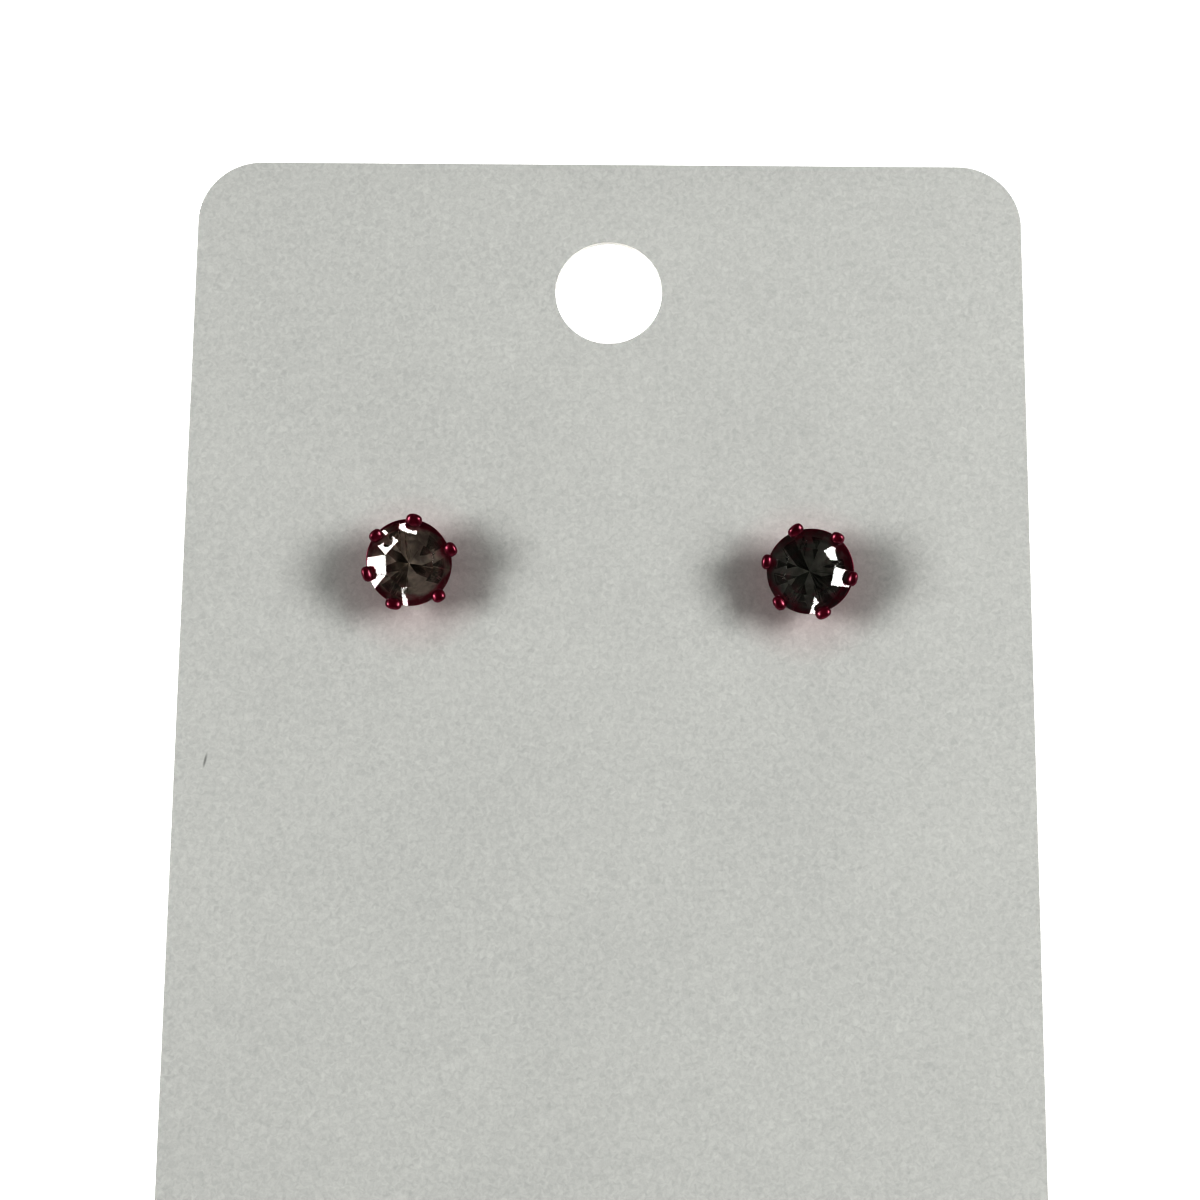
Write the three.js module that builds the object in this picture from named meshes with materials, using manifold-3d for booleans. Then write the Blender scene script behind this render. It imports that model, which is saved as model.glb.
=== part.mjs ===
// A pair of stud earrings on an earring card, in millimetres with +Z up.
// The card lies on its back, propped at its head by the two ear posts that stand out behind it.
// Origin: the middle of the outer box, on the surface that the card lies on.
// Each stud has an axis of its own: z = 0 at the back of its cup, +z towards the stone's table.

import * as THREE from "three";
import { mergeVertices } from "three/addons/utils/BufferGeometryUtils.js";
import Module from "manifold-3d";

const wasm = await Module();
wasm.setup();

// Card
const CARD_WIDTH = 50;
const CARD_LENGTH = 90;
const CARD_THICKNESS = 0.5;
const CARD_CORNER_RADIUS = 3.8;
const HANG_HOLE_DIAMETER = 6.45;
const HANG_HOLE_BELOW_TOP = 8.2; // top edge to the hole's centre

// Stone: a round cut with a flat table, a faceted crown and a pointed back
const STONE_DIAMETER = 4.9;
const TABLE_DIAMETER = 2.9;
const CROWN_HEIGHT = 0.62;
const GIRDLE_HEIGHT = 0.12;
const PAVILION_DEPTH = 2.05;
const PAVILION_BREAK_RADIUS = 0.75; // where the long back facets are widest
const STONE_SIDES = 8;

// Setting: an open cup, six prongs over the girdle and the ear post, soldered into one
const CUP_BACK_DIAMETER = 2.4;
const CUP_FLOOR = 0.35;
const CUP_WALL = 0.3;
const RIM_INSET = 0.03; // how far the rim stays in under the girdle
const RIM_BELOW_GIRDLE = 0.3;
const STONE_CLEARANCE = 0.05;
const PRONG_WIDTH = 0.66;
const PRONG_THICKNESS = 0.3;
const PRONG_START_HEIGHT = 0.7; // where a prong leaves the cup's wall
const KNOB_WIDTH = 0.86;
const KNOB_LENGTH = 0.7;
const KNOB_HEIGHT = 0.62;
const KNOB_OVERLAP = 0.31; // how far a prong's knob reaches in over the stone
const POST_DIAMETER = 0.8;
const POST_LENGTH = 11;

// Ear nut: a butterfly nut bent from one strip, with a wing rolled up on each side
const NUT_STRIP_THICKNESS = 0.3;
const NUT_STRIP_WIDTH = 3.6;
const NUT_PLATE_HALF = 1.55; // middle of the nut to where a wing begins to roll
const NUT_OUTER_ROLL = 0.78;
const NUT_INNER_ROLL = 0.44;
const NUT_POST_CLEARANCE = 0.08;

// Places of the two post holes
const STUD_SPACING = 23.65;
const STUDS_BELOW_TOP = 25.11; // top edge to the middle between the holes
const STUDS_SHIFT = 0.14; // the pair sits this far to the right of the card's middle
const STUDS_SLOPE = 0.145; // the left hole is this much above the middle, the right one below

// Fit of a leaning stud in its card
const SEAT_GAP = 0.08; // least gap of the cup and of the nut to the card's faces
const POST_HOLE_CLEARANCE = 0.12;

// Roundness
const ROUND_SIDES = 36;
const CORNER_SIDES = 12;
const KNOB_SIDES = 12;
const ROLL_STEPS = 10;

// One row for each stud. The leans are towards +x and +y of the card. The spin turns its stone, and
// the angles are those of its prongs, which were bent over by hand at uneven steps. All in degrees.
const STUDS = [
  {
    side: "left",
    sign: -1,
    lean_x: 5.5,
    lean_y: -13,
    stone_spin: 3.5,
    prong_angles: [20, 85, 141, 195, 249.5, 313],
  },
  {
    side: "right",
    sign: 1,
    lean_x: -4.5,
    lean_y: -13,
    stone_spin: -11,
    prong_angles: [50, 108.5, 167, 226.5, 288.5, 350.5],
  },
];

// Heights along a stud's own axis
const CULET_Z = CUP_FLOOR + STONE_CLEARANCE * 2;
const GIRDLE_BOTTOM_Z = CULET_Z + PAVILION_DEPTH;
const GIRDLE_TOP_Z = GIRDLE_BOTTOM_Z + GIRDLE_HEIGHT;
const RIM_Z = GIRDLE_BOTTOM_Z - RIM_BELOW_GIRDLE;
const RIM_RADIUS = STONE_DIAMETER / 2 - RIM_INSET;

// Middle of the nut to the corners of its plate, where a leaning nut comes nearest to the card
const NUT_REACH = Math.hypot(NUT_PLATE_HALF + NUT_STRIP_THICKNESS, NUT_STRIP_WIDTH / 2);

const radians = THREE.MathUtils.degToRad;

// Solids and meshes

function solidOf(geometry) {
  const bare = geometry.clone();
  bare.deleteAttribute("normal");
  bare.deleteAttribute("uv");
  const merged = mergeVertices(bare, 1e-5);
  const vertProperties = new Float32Array(merged.attributes.position.array);
  const triVerts = new Uint32Array(merged.index.array);
  return new wasm.Manifold(new wasm.Mesh({ numProp: 3, vertProperties, triVerts }));
}

function geometryOf(solid) {
  const mesh = solid.getMesh();
  const geometry = new THREE.BufferGeometry();
  geometry.setAttribute("position", new THREE.BufferAttribute(new Float32Array(mesh.vertProperties), 3));
  geometry.setIndex(new THREE.BufferAttribute(new Uint32Array(mesh.triVerts), 1));
  geometry.computeVertexNormals();
  return geometry;
}

function piece(name, geometry, material) {
  const mesh = new THREE.Mesh(geometry, material);
  mesh.name = name;
  return mesh;
}

function plainMaterial(color, roughness, metalness) {
  return new THREE.MeshStandardMaterial({ color, roughness, metalness });
}

const cardPaper = () => plainMaterial("#c4c5bf", 0.9, 0);
const crimsonMetal = () => plainMaterial("#7c0a3a", 0.22, 0.7);
const stoneGlass = () => plainMaterial("#b9b6b2", 0.05, 0.3);
const nutSteel = () => plainMaterial("#b8b6b2", 0.3, 1);

// Card: a rounded sheet with its front face at z = 0, its top edge's middle at x = y = 0

function circleHole(x, y, radius) {
  const hole = new THREE.Path();
  hole.absarc(x, y, radius, 0, Math.PI * 2, true);
  return hole;
}

function cardSheet() {
  const half = CARD_WIDTH / 2;
  const r = CARD_CORNER_RADIUS;
  const outline = new THREE.Shape();
  outline.moveTo(-half + r, -CARD_LENGTH);
  outline.absarc(half - r, -CARD_LENGTH + r, r, -Math.PI / 2, 0, false);
  outline.absarc(half - r, -r, r, 0, Math.PI / 2, false);
  outline.absarc(-half + r, -r, r, Math.PI / 2, Math.PI, false);
  outline.absarc(-half + r, -CARD_LENGTH + r, r, Math.PI, Math.PI * 1.5, false);
  outline.closePath();
  outline.holes.push(circleHole(0, -HANG_HOLE_BELOW_TOP, HANG_HOLE_DIAMETER / 2));
  for (const stud of STUDS) {
    const { x, y } = postHole(stud);
    outline.holes.push(circleHole(x, y, postHoleRadius(stud)));
  }
  const sheet = new THREE.ExtrudeGeometry(outline, {
    depth: CARD_THICKNESS,
    bevelEnabled: false,
    curveSegments: CORNER_SIDES,
  });
  return sheet.translate(0, 0, -CARD_THICKNESS);
}

// Stone: flat facets between rings of corners. The crown has a long facet at each table side and
// a pointed one at each table corner; the back has long kites and a pair of small facets to each.

function ringPoint(radius, degrees, z) {
  return [radius * Math.cos(radians(degrees)), radius * Math.sin(radians(degrees)), z];
}

function stoneFacets(swell) {
  const radius = STONE_DIAMETER / 2 + swell;
  const side = 360 / STONE_SIDES;
  const crownTop = GIRDLE_TOP_Z + CROWN_HEIGHT + swell;
  const upper = GIRDLE_TOP_Z + swell;
  const lower = GIRDLE_BOTTOM_Z;
  const culet = CULET_Z - swell;
  const breakRadius = PAVILION_BREAK_RADIUS;
  const slope = (lower - culet) / radius;
  const breakZ = culet + slope * breakRadius * Math.cos(radians(side / 2));
  const table = (k) => ringPoint(TABLE_DIAMETER / 2, side * (k + 0.5), crownTop);
  const girdle = (j, z) => ringPoint(radius, side * (j / 2 - 0.25), z);
  const widest = (k) => ringPoint(breakRadius, side * (k + 0.75), breakZ);
  const tip = [0, 0, culet];
  const facets = [Array.from({ length: STONE_SIDES }, (_, k) => table(k))];
  for (let k = 0; k < STONE_SIDES; k += 1) {
    const j = 2 * k;
    facets.push([table(k - 1), girdle(j, upper), girdle(j + 1, upper), table(k)]);
    facets.push([table(k), girdle(j + 1, upper), girdle(j + 2, upper)]);
    facets.push([girdle(j, upper), girdle(j, lower), girdle(j + 1, lower), girdle(j + 1, upper)]);
    facets.push([girdle(j + 1, upper), girdle(j + 1, lower), girdle(j + 2, lower), girdle(j + 2, upper)]);
    facets.push([tip, widest(k), girdle(j + 1, lower), widest(k - 1)]);
    facets.push([widest(k), girdle(j + 2, lower), girdle(j + 1, lower)]);
    facets.push([widest(k), girdle(j + 3, lower), girdle(j + 2, lower)]);
  }
  return facets;
}

function stoneBody(swell = 0) {
  const corners = [];
  for (const facet of stoneFacets(swell)) {
    for (let i = 1; i < facet.length - 1; i += 1) {
      corners.push(...facet[0], ...facet[i], ...facet[i + 1]);
    }
  }
  const geometry = new THREE.BufferGeometry();
  geometry.setAttribute("position", new THREE.Float32BufferAttribute(corners, 3));
  return mergeVertices(geometry, 1e-5);
}

// Setting

function cupWallRadius(z) {
  return THREE.MathUtils.mapLinear(z, 0, RIM_Z, CUP_BACK_DIAMETER / 2, RIM_RADIUS);
}

function cupAndPost() {
  const postRadius = POST_DIAMETER / 2;
  const profile = [];
  for (let i = 0; i <= 4; i += 1) {
    const angle = (i * Math.PI) / 8;
    const z = -POST_LENGTH + postRadius * (1 - Math.cos(angle));
    profile.push(new THREE.Vector2(postRadius * Math.sin(angle), z));
  }
  profile.push(new THREE.Vector2(postRadius, 0));
  profile.push(new THREE.Vector2(CUP_BACK_DIAMETER / 2, 0));
  profile.push(new THREE.Vector2(RIM_RADIUS, RIM_Z));
  profile.push(new THREE.Vector2(RIM_RADIUS - CUP_WALL, RIM_Z));
  profile.push(new THREE.Vector2(cupWallRadius(CUP_FLOOR) - CUP_WALL, CUP_FLOOR));
  profile.push(new THREE.Vector2(0, CUP_FLOOR));
  return solidOf(new THREE.LatheGeometry(profile, ROUND_SIDES).rotateX(Math.PI / 2));
}

function prong() {
  const knobMiddle = STONE_DIAMETER / 2 - KNOB_OVERLAP + KNOB_LENGTH / 2;
  const knobZ = GIRDLE_TOP_Z + STONE_CLEARANCE + KNOB_HEIGHT / 3;
  const inside = CUP_WALL / 2;
  const side = new THREE.Shape([
    new THREE.Vector2(cupWallRadius(PRONG_START_HEIGHT) - inside, PRONG_START_HEIGHT),
    new THREE.Vector2(cupWallRadius(PRONG_START_HEIGHT), PRONG_START_HEIGHT),
    new THREE.Vector2(RIM_RADIUS + PRONG_THICKNESS, RIM_Z),
    new THREE.Vector2(RIM_RADIUS + PRONG_THICKNESS, knobZ),
    new THREE.Vector2(RIM_RADIUS - inside, knobZ),
    new THREE.Vector2(RIM_RADIUS - inside, RIM_Z),
  ]);
  const leg = new THREE.ExtrudeGeometry(side, { depth: PRONG_WIDTH, bevelEnabled: false });
  leg.translate(0, 0, -PRONG_WIDTH / 2).rotateX(Math.PI / 2);
  const knob = new THREE.SphereGeometry(0.5, KNOB_SIDES, KNOB_SIDES / 2).rotateX(Math.PI / 2);
  knob.scale(KNOB_LENGTH, KNOB_WIDTH, KNOB_HEIGHT).translate(knobMiddle, 0, knobZ);
  return solidOf(leg).add(solidOf(knob));
}

function settingBody(stud) {
  let body = cupAndPost();
  for (const angle of stud.prong_angles) {
    body = body.add(prong().rotate([0, 0, angle]));
  }
  const seat = solidOf(stoneBody(STONE_CLEARANCE)).rotate([0, 0, stud.stone_spin]);
  return geometryOf(body.subtract(seat));
}

// Ear nut: the strip's middle line runs from the post's side along the plate and round the wing.
// Its plate faces the card at z = 0 and its wings hang below.

function wingLine() {
  const plateZ = -NUT_STRIP_THICKNESS / 2;
  const line = [new THREE.Vector2(0, plateZ)];
  const outerZ = plateZ - NUT_OUTER_ROLL;
  for (let i = 0; i <= ROLL_STEPS; i += 1) {
    const angle = Math.PI / 2 - (i * Math.PI) / ROLL_STEPS;
    const x = NUT_PLATE_HALF + NUT_OUTER_ROLL * Math.cos(angle);
    line.push(new THREE.Vector2(x, outerZ + NUT_OUTER_ROLL * Math.sin(angle)));
  }
  const bottomZ = outerZ - NUT_OUTER_ROLL;
  const holeRadius = POST_DIAMETER / 2 + NUT_POST_CLEARANCE;
  const innerX = holeRadius + NUT_INNER_ROLL + NUT_STRIP_THICKNESS / 2;
  for (let i = 0; i <= ROLL_STEPS; i += 1) {
    const angle = -Math.PI / 2 - (i * Math.PI) / ROLL_STEPS;
    const x = innerX + NUT_INNER_ROLL * Math.cos(angle);
    line.push(new THREE.Vector2(x, bottomZ + NUT_INNER_ROLL + NUT_INNER_ROLL * Math.sin(angle)));
  }
  return line;
}

function stripEdge(line, offset) {
  return line.map((point, i) => {
    const before = line[Math.max(i - 1, 0)];
    const after = line[Math.min(i + 1, line.length - 1)];
    const along = after.clone().sub(before).normalize();
    return new THREE.Vector2(point.x - along.y * offset, point.y + along.x * offset);
  });
}

function nutBody() {
  const line = wingLine();
  const half = NUT_STRIP_THICKNESS / 2;
  const mirrored = (edge) => edge.map((point) => new THREE.Vector2(-point.x, point.y));
  const outer = stripEdge(line, half);
  const inner = stripEdge(line, -half);
  outer[0].x = 0;
  inner[0].x = 0;
  const outline = new THREE.Shape([
    ...outer,
    ...inner.slice(1).reverse(),
    ...mirrored(inner.slice(1)),
    ...mirrored(outer.slice(1)).reverse(),
  ]);
  const strip = new THREE.ExtrudeGeometry(outline, { depth: NUT_STRIP_WIDTH, bevelEnabled: false });
  strip.translate(0, 0, -NUT_STRIP_WIDTH / 2).rotateX(Math.PI / 2);
  const holeRadius = POST_DIAMETER / 2 + NUT_POST_CLEARANCE;
  const hole = new THREE.CylinderGeometry(holeRadius, holeRadius, 2 * NUT_STRIP_THICKNESS, KNOB_SIDES);
  hole.rotateX(Math.PI / 2).translate(0, 0, -half);
  return geometryOf(solidOf(strip).subtract(solidOf(hole)));
}

// Fit of a leaning stud: its axis crosses the middle of the card's thickness at the post hole

function leanAxis(stud) {
  return new THREE.Vector3(Math.tan(radians(stud.lean_x)), Math.tan(radians(stud.lean_y)), 1).normalize();
}

function postHole(stud) {
  const across = STUDS_SHIFT + (stud.sign * STUD_SPACING) / 2;
  const belowTop = STUDS_BELOW_TOP + stud.sign * STUDS_SLOPE;
  return new THREE.Vector3(across, -belowTop, -CARD_THICKNESS / 2);
}

function postHoleRadius(stud) {
  const { z: cosine } = leanAxis(stud);
  const slant = Math.sqrt(1 - cosine * cosine) / cosine;
  return POST_DIAMETER / 2 / cosine + (CARD_THICKNESS / 2) * slant + POST_HOLE_CLEARANCE;
}

function seatDistance(stud, seatRadius) {
  const { z: cosine } = leanAxis(stud);
  const sine = Math.sqrt(1 - cosine * cosine);
  return (CARD_THICKNESS / 2 + SEAT_GAP + seatRadius * sine) / cosine;
}

function studGroup(stud) {
  const cupBack = seatDistance(stud, CUP_BACK_DIAMETER / 2);
  const setting = piece(`${stud.side}_setting`, settingBody(stud), crimsonMetal());
  setting.position.z = cupBack;
  const stone = piece(`${stud.side}_stone`, stoneBody(), stoneGlass());
  stone.position.z = cupBack;
  stone.rotation.z = radians(stud.stone_spin);
  const nut = piece(`${stud.side}_ear_nut`, nutBody(), nutSteel());
  nut.position.z = -seatDistance(stud, NUT_REACH);
  const group = new THREE.Group();
  group.add(setting, stone, nut);
  group.quaternion.setFromUnitVectors(new THREE.Vector3(0, 0, 1), leanAxis(stud));
  group.position.copy(postHole(stud));
  return group;
}

// Rest: the card tips back until the round ends of both posts and its lower edge touch the surface

function lowestPostPoint(stud, up) {
  const reach = seatDistance(stud, CUP_BACK_DIAMETER / 2) - POST_LENGTH + POST_DIAMETER / 2;
  const endCentre = postHole(stud).addScaledVector(leanAxis(stud), reach);
  return endCentre.addScaledVector(up, -POST_DIAMETER / 2);
}

function restingUp() {
  const edge = new THREE.Vector3(0, -CARD_LENGTH, -CARD_THICKNESS);
  const up = new THREE.Vector3(0, 0, 1);
  for (let round = 0; round < 4; round += 1) {
    const [left, right] = STUDS.map((stud) => lowestPostPoint(stud, up).sub(edge));
    up.crossVectors(right, left).normalize();
  }
  return up;
}

const earrings = new THREE.Group();
earrings.add(piece("earring_card", cardSheet(), cardPaper()), ...STUDS.map(studGroup));
earrings.quaternion.setFromUnitVectors(restingUp(), new THREE.Vector3(0, 0, 1));
earrings.updateMatrixWorld(true);
const box = new THREE.Box3().setFromObject(earrings, true);
earrings.position.set(-(box.min.x + box.max.x) / 2, -(box.min.y + box.max.y) / 2, -box.min.z);
earrings.updateMatrixWorld(true);

export default earrings;
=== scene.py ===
import math

import bmesh
import bpy
import numpy as np
from mathutils import Matrix, Vector
from mathutils.geometry import tessellate_polygon


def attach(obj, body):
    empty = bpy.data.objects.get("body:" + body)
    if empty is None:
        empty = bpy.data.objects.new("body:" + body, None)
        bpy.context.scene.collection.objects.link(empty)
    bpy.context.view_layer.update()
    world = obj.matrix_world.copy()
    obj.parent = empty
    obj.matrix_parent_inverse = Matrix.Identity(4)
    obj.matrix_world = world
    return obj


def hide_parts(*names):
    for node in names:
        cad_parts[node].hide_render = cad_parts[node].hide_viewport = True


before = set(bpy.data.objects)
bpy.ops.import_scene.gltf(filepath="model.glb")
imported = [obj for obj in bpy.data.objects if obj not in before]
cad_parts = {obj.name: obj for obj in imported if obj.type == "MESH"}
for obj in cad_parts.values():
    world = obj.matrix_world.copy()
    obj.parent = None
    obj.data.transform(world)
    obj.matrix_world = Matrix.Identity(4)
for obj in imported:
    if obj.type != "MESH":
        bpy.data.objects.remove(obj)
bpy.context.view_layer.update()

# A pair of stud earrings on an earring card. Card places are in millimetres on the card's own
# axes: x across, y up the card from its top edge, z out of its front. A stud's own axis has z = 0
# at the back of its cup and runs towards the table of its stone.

MM = 0.001

# Card
CARD_WIDTH, CARD_LENGTH, CARD_THICKNESS = 50.0, 90.0, 0.5
CARD_CORNER_RADIUS = 3.8
HANG_HOLE_RADIUS, HANG_HOLE_BELOW_TOP = 3.225, 8.2
POST_HOLE_CLEARANCE = 0.12
DIE_CUT_ROUND, BACK_ROUND = 0.05, 0.03  # rounding of the cut edge's front and back corners
MARK_X, MARK_Y, MARK_TURN = -23.2, -36.84, -12.0  # middle of a dark fibre and its turn in degrees
MARK_LENGTH, MARK_WIDTH = 1.1, 0.19
GREY_DEPTH = 0.06  # of the grey layer on each face of the card
PAINTED_BOUNCE_FULL, PAINTED_BOUNCE_END = 3.9, 5.8  # how far from a girdle's middle the card carries painted pink light from the setting

# Stone
STONE_RADIUS, TABLE_RADIUS = 2.45, 1.45
CROWN_HEIGHT, GIRDLE_HEIGHT, PAVILION_DEPTH = 0.62, 0.12, 2.05
PAVILION_BREAK_RADIUS = 0.75
STONE_SIDES = 8
FACET_POINTS = 6  # steps of the girdle along each of its facets
STONE_EDGE_WEAR = 0.012

# Foil on a stone's back
RAYS_ROUND = 4.5  # bands of scuffs for one radian round the stone
FOIL_SCUFFS = {"left": 1.0, "right": 0.8}  # how dull it is where it is scuffed
FOIL_TONES = {"left": ("#98938c", "#cdc8c0"), "right": ("#7c7f7a", "#a3a6a1")}  # tarnished, bright
FACET_SEEDS = {"left": 4, "right": 9}  # of the random draws of how scuffed each facet is

# Setting
CUP_BACK_RADIUS, CUP_FLOOR, CUP_WALL = 1.2, 0.35, 0.24
RIM_BELOW_GIRDLE, RIM_BAND = 0.3, 0.12
EDGE_ROUND, CUP_BACK_ROUND, CUP_FLOOR_ROUND = 0.05, 0.12, 0.1
STONE_CLEARANCE = 0.05
PRONG_START_HEIGHT, PRONG_FREE_HEIGHT = 0.7, 1.3  # where it is rooted, and clear of the cup's wall
PRONG_ROOT, PRONG_BELOW_RIM, PRONG_ABOVE_GIRDLE, PRONG_BENT_IN = 0.1, 0.2, 0.22, 0.02
PRONG_WIDTH, PRONG_THICKNESS, PRONG_FLARE = 0.62, 0.26, 0.15  # the flare is a share of the width
KNOB_WIDTH, KNOB_LENGTH, KNOB_HEIGHT = 0.86, 0.7, 0.62
KNOB_OVERLAP = 0.31
KNOB_FULLNESS, KNOB_SLOPE = 0.82, 0.16
POST_RADIUS, POST_LENGTH = 0.4, 11.0
POST_END_ROUND, SOLDER_FILLET, SOLDER_DEPTH = 0.34, 0.16, 0.02
NOTCH_DEPTH, NOTCH_LENGTH, NOTCH_FROM_END = 0.07, 0.35, 1.3

# Ear nut
STRIP_THICKNESS, STRIP_WIDTH = 0.3, 3.6
PLATE_HALF, OUTER_ROLL, INNER_ROLL = 1.55, 0.78, 0.44
NUT_POST_CLEARANCE = 0.08
SEAT_GAP = 0.08
WAIST_NARROWING, WAIST_PLACE, WAIST_SPREAD = 0.12, 0.19, 0.05  # shares of the strip's width and length
COLLAR_GAP, COLLAR_FOOT = 0.01, 0.34  # the foot is the collar's wall where it meets the strip
COLLAR_FRONT, COLLAR_FRONT_WALL = 0.05, 0.16  # how far it stands out of the strip, and its wall there
COLLAR_BACK, COLLAR_BACK_WALL = 0.16, 0.14
COLLAR_ROUND, COLLAR_SUNK_FRONT, COLLAR_SUNK_BACK = 0.04, 0.06, 0.02  # its foot is sunk in the strip

# Heights along a stud's own axis
CULET_Z = CUP_FLOOR + 2 * STONE_CLEARANCE
GIRDLE_BOTTOM_Z = CULET_Z + PAVILION_DEPTH
GIRDLE_TOP_Z = GIRDLE_BOTTOM_Z + GIRDLE_HEIGHT
TABLE_Z = GIRDLE_TOP_Z + CROWN_HEIGHT
RIM_Z = GIRDLE_BOTTOM_Z - RIM_BELOW_GIRDLE
RIM_RADIUS = STONE_RADIUS

# Direction in degrees and distance by which each cup's rim was bent off its stone's centre
RIM_SHIFTS = {"left": (113, 0.13), "right": (12, 0.13)}

# Degrees about a stud's own axis: the turn of its stone, and where its prongs stand
STONE_SPINS = {"left": 3.5, "right": -11.0}
PRONG_ANGLES = {
    "left": (20, 85, 141, 195, 249.5, 313),
    "right": (50, 108.5, 167, 226.5, 288.5, 350.5),
}
# Each knob's share of the usual width, length and height, and the degrees that it is twisted
KNOB_SHAPES = {
    "left": ((1.0, 1.05, 1.0, 12), (1.1, 1.12, 1.05, -8), (0.95, 1.0, 0.95, -10), (1.05, 0.9, 0.9, 6),
             (1.12, 0.95, 1.0, 10), (0.95, 1.08, 1.0, -14)),
    "right": ((0.95, 0.98, 1.0, 14), (1.1, 0.95, 0.95, 20), (1.02, 0.92, 1.0, 4), (1.04, 1.0, 1.0, -12),
              (1.08, 1.0, 1.05, 10), (1.0, 0.88, 0.95, -6)),
}

# Sizes of the patterns in the materials
FIBRE_CLUMPS, BOARD_CLOUDS = 0.3, 9.0
LACQUER_POOLS = 0.35
GLASS_HAZE, GLASS_SWELLS = 0.4, 1.4
FOIL_REFLECTION_PATCHES, FOIL_TARNISH = 0.9, 0.6
ROLLED_LINES, ROLLED_SLIMNESS = 1.2, 12.0  # length of a line, and its length over its width
FLOOR_CLOUDS = 60.0


# Frame: axes of the card and of the studs, read from the solids

def corners_of(node):
    """Corners of the node's triangles, shaped (triangle, corner, xyz), in metres."""
    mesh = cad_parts[node].data
    mesh.calc_loop_triangles()
    points = np.empty(len(mesh.vertices) * 3)
    mesh.vertices.foreach_get("co", points)
    order = np.empty(len(mesh.loop_triangles) * 3, dtype=np.int32)
    mesh.loop_triangles.foreach_get("vertices", order)
    return points.reshape(-1, 3)[order].reshape(-1, 3, 3)


def largest_flat(node, towards):
    """Outward normal and centre of the node's largest flat side that faces about that way."""
    corners = corners_of(node)
    cross = np.cross(corners[:, 1] - corners[:, 0], corners[:, 2] - corners[:, 0])
    area = np.linalg.norm(cross, axis=1)
    normals = cross / np.maximum(area, 1e-20)[:, None]
    facing = np.where(normals @ np.array(towards) > 0.8, area, 0)
    same = normals @ normals[facing.argmax()] > 0.9999
    weights = np.where(same, area, 0)
    normal = weights @ normals
    centre = weights @ corners.mean(axis=1) / weights.sum()
    return normal / np.linalg.norm(normal), centre


def card_axes():
    """The card's 4x4 place in metres: columns across, up the card, out of its front, and origin."""
    out, _ = largest_flat("earring_card", (0, 0, 1))
    across, _ = largest_flat("earring_card", (1, 0, 0))
    across = across - out * (across @ out)
    across /= np.linalg.norm(across)
    up = np.cross(out, across)
    points = corners_of("earring_card").reshape(-1, 3)
    spans = np.array([[(points @ a).min(), (points @ a).max()] for a in (across, up, out)])
    place = np.eye(4)
    place[:3, :3] = np.stack([across, up, out], axis=1)
    place[:3, 3] = across * spans[0].mean() + up * spans[1, 1] + out * spans[2, 1]
    return place


def stud_axes(side):
    """A stud's 4x4 place in metres. Its axis is its table's normal, and its x axis is the card's x
    axis turned the short way from the card's normal to the stud's."""
    axis, table_centre = largest_flat(f"{side}_stone", (0, 0, 1))
    lean = Vector(CARD[:3, 2]).rotation_difference(Vector(axis)).to_matrix()
    place = np.eye(4)
    place[:3, :3] = np.array(lean) @ CARD[:3, :3]
    place[:3, 3] = table_centre - place[:3, 2] * TABLE_Z * MM
    return place


def placed(points, place):
    """Points in millimetres on that place's axes, as metres in the row frame."""
    return np.asarray(points, float) * MM @ place[:3, :3].T + place[:3, 3]


CARD = card_axes()


# Mesh helpers

def grid_faces(rows, columns):
    """Four-sided faces between neighbours on a grid of points, whose columns close on themselves."""
    i, j = np.meshgrid(np.arange(rows - 1), np.arange(columns), indexing="ij")
    after = (j + 1) % columns
    corners = [i * columns + j, (i + 1) * columns + j, (i + 1) * columns + after, i * columns + after]
    return np.stack(corners, axis=-1).reshape(-1, 4)


def turned(points, degrees):
    """Points turned about the z axis."""
    c, s = math.cos(math.radians(degrees)), math.sin(math.radians(degrees))
    return points @ np.array([[c, s, 0], [-s, c, 0], [0, 0, 1]])


def vertices_of(piece):
    """The piece's points, one a row, in metres."""
    points = np.empty(len(piece.data.vertices) * 3)
    piece.data.vertices.foreach_get("co", points)
    return points.reshape(-1, 3)


def make_piece(name, shells, materials, node, sharp_degrees, face_materials=None):
    """One object from shells of (points in metres, faces). Points that meet are merged, which closes
    poles and seams, and every shell's faces are turned outwards."""
    starts = np.cumsum([0] + [len(points) for points, _ in shells])
    points = np.concatenate([points for points, _ in shells])
    faces = [[start + c for c in face] for start, (_, part) in zip(starts, shells) for face in part]
    mesh = bpy.data.meshes.new(name)
    mesh.from_pydata(points.tolist(), [], faces)
    if face_materials is not None:
        mesh.polygons.foreach_set("material_index", face_materials)
    work = bmesh.new()
    work.from_mesh(mesh)
    bmesh.ops.remove_doubles(work, verts=work.verts, dist=2e-6)
    bmesh.ops.recalc_face_normals(work, faces=work.faces)
    work.to_mesh(mesh)
    work.free()
    for material in materials:
        mesh.materials.append(material)
    mesh.shade_smooth()
    mesh.set_sharp_from_angle(angle=math.radians(sharp_degrees))
    piece = bpy.data.objects.new(name, mesh)
    bpy.context.scene.collection.objects.link(piece)
    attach(piece, "root")
    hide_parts(node)
    return piece


# Node helpers

def linear(hex_colour):
    """An sRGB hex colour as linear RGBA."""
    srgb = np.array([int(hex_colour[i:i + 2], 16) for i in (1, 3, 5)]) / 255
    rgb = np.where(srgb <= 0.04045, srgb / 12.92, ((srgb + 0.055) / 1.055) ** 2.4)
    return (*rgb.tolist(), 1.0)


def new_material(name):
    """An empty node material and the tree that it holds."""
    material = bpy.data.materials.new(name)
    material.use_nodes = True
    material.node_tree.nodes.clear()
    return material, material.node_tree


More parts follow.
